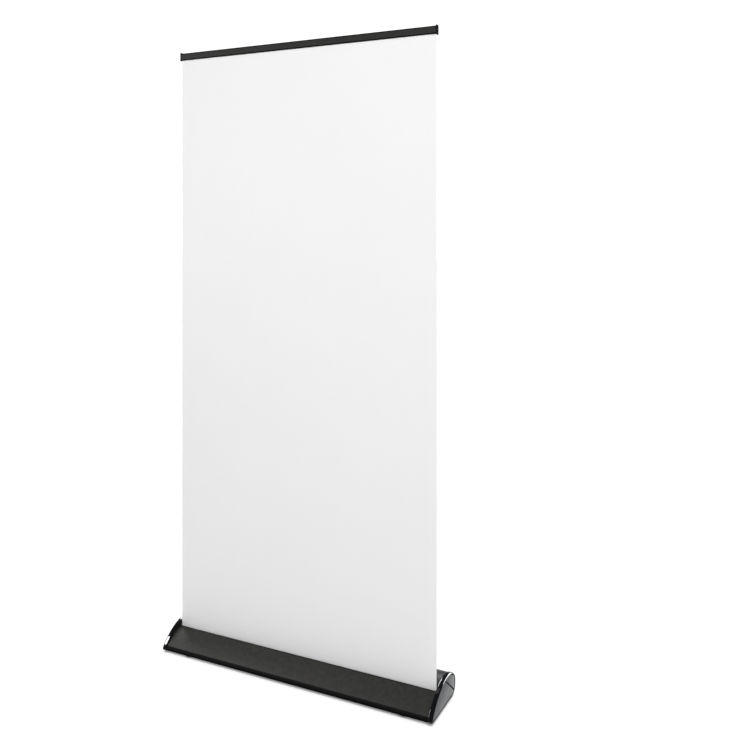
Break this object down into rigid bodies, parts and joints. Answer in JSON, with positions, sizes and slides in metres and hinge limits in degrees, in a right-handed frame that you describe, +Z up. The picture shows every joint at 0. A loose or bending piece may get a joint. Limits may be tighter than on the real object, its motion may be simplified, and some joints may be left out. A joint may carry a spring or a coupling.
{
  "type": "roll-up banner stand",
  "caption": "Free-standing roll-up banner stand: tall blank film pulled from a wide teardrop base and held by a clamp rail on a bungee pole.",
  "frame": {"origin": "on the floor under the middle of the base", "axes": "+Z up, the face of the film looks towards -Y, +X to the right seen from the front"},
  "size_m": [1.04, 0.1986, 2.143],
  "materials": {
    "coated_panel": "matt charcoal powder coat on extruded aluminium",
    "coated_shell": "satin charcoal powder coat on extruded aluminium",
    "gloss_cap": "high gloss black moulding",
    "black_plastic": "fine textured moulding",
    "black_steel": "black dipped steel plate",
    "zinc_steel": "zinc plated",
    "spring_steel": "oiled spring wire",
    "mill_aluminium": "plain extruded",
    "white_film": "matt white face with a grey light-blocking back",
    "rubber": "matt",
    "bungee": "braided sleeve over rubber strands"
  },
  "bodies": {
    "base": {"axle_pin": "zinc_steel", "banner_film": "white_film", "base_floor": "mill_aluminium", "end_cap_left": "gloss_cap", "end_cap_right": "gloss_cap", "end_plate_left": "black_steel", "end_plate_right": "black_steel", "end_screw_left_1": "zinc_steel", "end_screw_left_2": "zinc_steel", "end_screw_left_3": "zinc_steel", "end_screw_right_1": "zinc_steel", "end_screw_right_2": "zinc_steel", "end_screw_right_3": "zinc_steel", "film_leader": "white_film", "foot_insert_front_left": "zinc_steel", "foot_insert_front_right": "zinc_steel", "foot_insert_rear_left": "zinc_steel", "foot_insert_rear_right": "zinc_steel", "front_panel": "coated_panel", "pole_socket": "black_plastic", "rear_shell": "coated_shell", "slot_edging": "black_plastic", "spring_rod": "zinc_steel", "torsion_spring": "spring_steel"},
    "roller": {"roller_tube": "mill_aluminium", "roller_plug_left": "black_plastic", "roller_plug_right": "black_plastic", "spring_anchor": "black_plastic", "film_roll": "white_film"},
    "rail": {"rail_back": "coated_panel", "rail_cap_left": "gloss_cap", "rail_cap_right": "gloss_cap", "banner_top_strip": "black_plastic"},
    "jaw": {"rail_jaw": "coated_panel"},
    "pole_lower_section": {"pole_lower": "coated_shell", "pole_foot_plug": "black_plastic", "pole_ferrule_lower": "mill_aluminium", "bungee_lower": "bungee"},
    "pole_middle_section": {"pole_middle": "coated_shell", "pole_ferrule_upper": "mill_aluminium", "bungee_upper": "bungee"},
    "pole_upper_section": {"pole_upper": "coated_shell", "pole_head": "black_plastic"},
    "foot_front_left": {"foot_pad_front_left": "rubber", "foot_stud_front_left": "zinc_steel"},
    "foot_front_right": {"foot_pad_front_right": "rubber", "foot_stud_front_right": "zinc_steel"},
    "foot_rear_left": {"foot_pad_rear_left": "rubber", "foot_stud_rear_left": "zinc_steel"},
    "foot_rear_right": {"foot_pad_rear_right": "rubber", "foot_stud_rear_right": "zinc_steel"}
  },
  "joints": [
    {"name": "rail_travel", "type": "slide", "parent": "base", "child": "rail", "axis": [0, 0, 1], "range_m": [-2.04, 0.008], "deforming": ["banner_film"]},
    {"name": "roller_spin", "type": "hinge", "parent": "base", "child": "roller", "pos_m": [0, -0.03475, 0.031], "axis": [1, 0, 0], "continuous": true},
    {"name": "rail_jaw_swing", "type": "hinge", "parent": "rail", "child": "jaw", "pos_m": [0, -0.01755, 2.14], "axis": [-1, 0, 0], "range_deg": [0, 40]},
    {"name": "pole_lift", "type": "slide", "parent": "base", "child": "pole_lower_section", "axis": [0, -0.0175, 0.9998], "range_m": [0, 0.35]},
    {"name": "pole_middle_pull", "type": "slide", "parent": "pole_lower_section", "child": "pole_middle_section", "axis": [0, -0.0175, 0.9998], "range_m": [0, 0.35], "deforming": ["bungee_lower"]},
    {"name": "pole_upper_pull", "type": "slide", "parent": "pole_middle_section", "child": "pole_upper_section", "axis": [0, -0.0175, 0.9998], "range_m": [0, 0.35], "deforming": ["bungee_upper"]},
    {"name": "foot_front_left_height", "type": "slide", "parent": "base", "child": "foot_front_left", "axis": [0, 0, 1], "range_m": [-0.008, 0]},
    {"name": "foot_front_right_height", "type": "slide", "parent": "base", "child": "foot_front_right", "axis": [0, 0, 1], "range_m": [-0.008, 0]},
    {"name": "foot_rear_left_height", "type": "slide", "parent": "base", "child": "foot_rear_left", "axis": [0, 0, 1], "range_m": [-0.008, 0]},
    {"name": "foot_rear_right_height", "type": "slide", "parent": "base", "child": "foot_rear_right", "axis": [0, 0, 1], "range_m": [-0.008, 0]}
  ],
  "couplings": [
    {"joint": "roller_spin", "follows": "rail_travel", "rad_per_m": 51.3}
  ]
}
